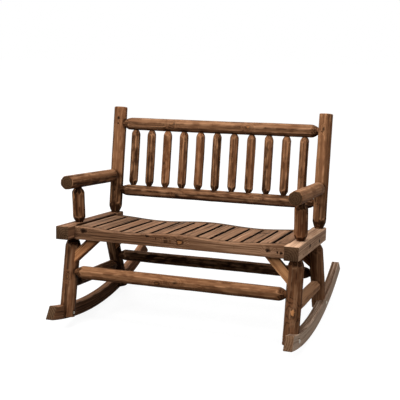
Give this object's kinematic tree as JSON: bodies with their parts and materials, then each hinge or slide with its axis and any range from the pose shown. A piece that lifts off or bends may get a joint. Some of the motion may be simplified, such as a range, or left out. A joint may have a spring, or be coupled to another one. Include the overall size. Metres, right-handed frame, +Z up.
{
  "type": "rocking bench",
  "caption": "Two-seat rocking bench of peeled logs, with a scooped slat seat, a spindle back, log arms and two curved sawn rockers.",
  "frame": {"origin": "on the floor, at the middle of the bench's width and of its depth from rocker tip to rocker tip", "axes": "+X to the right seen from the front, along the seat; +Y towards the back; +Z up. The bench stands at the slope at which it balances."},
  "size_m": [1.1836, 1.0724, 0.9897],
  "materials": {
    "log_wood": "brown stained peeled log, satin",
    "slat_wood": "brown stained sawn board, worn lighter on top",
    "beam_wood": "brown stained sawn timber, satin",
    "rocker_wood": "brown stained sawn timber, satin",
    "brace_wood": "warm brown stained sawn timber, satin",
    "zinc_steel": "zinc plated, dull"
  },
  "bodies": {
    "root": {"rocker_left": "rocker_wood", "rocker_right": "rocker_wood", "front_leg_left": "log_wood", "front_leg_right": "log_wood", "rear_leg_left": "log_wood", "rear_leg_right": "log_wood", "seat_beam_left": "beam_wood", "seat_beam_right": "beam_wood", "seat_front_rail": "beam_wood", "seat_rear_rail": "beam_wood", "seat_slat_01": "slat_wood", "seat_slat_02": "slat_wood", "seat_slat_03": "slat_wood", "seat_slat_04": "slat_wood", "seat_slat_05": "slat_wood", "seat_slat_06": "slat_wood", "seat_slat_07": "slat_wood", "seat_slat_08": "slat_wood", "seat_slat_09": "slat_wood", "seat_slat_10": "slat_wood", "seat_slat_11": "slat_wood", "seat_slat_12": "slat_wood", "seat_slat_13": "slat_wood", "seat_slat_14": "slat_wood", "back_post_left": "log_wood", "back_post_right": "log_wood", "back_top_rail": "log_wood", "back_lower_rail": "log_wood", "back_spindle_01": "log_wood", "back_spindle_02": "log_wood", "back_spindle_03": "log_wood", "back_spindle_04": "log_wood", "back_spindle_05": "log_wood", "back_spindle_06": "log_wood", "back_spindle_07": "log_wood", "back_spindle_08": "log_wood", "back_spindle_09": "log_wood", "back_spindle_10": "log_wood", "back_spindle_11": "log_wood", "armrest_left": "log_wood", "armrest_right": "log_wood", "arm_post_left": "log_wood", "arm_post_right": "log_wood", "front_stretcher": "log_wood", "rear_stretcher": "log_wood", "side_stretcher_left": "log_wood", "side_stretcher_right": "log_wood", "brace_front_left": "brace_wood", "brace_front_right": "brace_wood", "brace_rear_left": "brace_wood", "brace_rear_right": "brace_wood", "rocker_bolt_front_left": "zinc_steel", "rocker_bolt_front_right": "zinc_steel", "rocker_bolt_rear_left": "zinc_steel", "rocker_bolt_rear_right": "zinc_steel", "rocker_nut_front_left": "zinc_steel", "rocker_nut_front_right": "zinc_steel", "rocker_nut_rear_left": "zinc_steel", "rocker_nut_rear_right": "zinc_steel"}
  },
  "joints": []
}
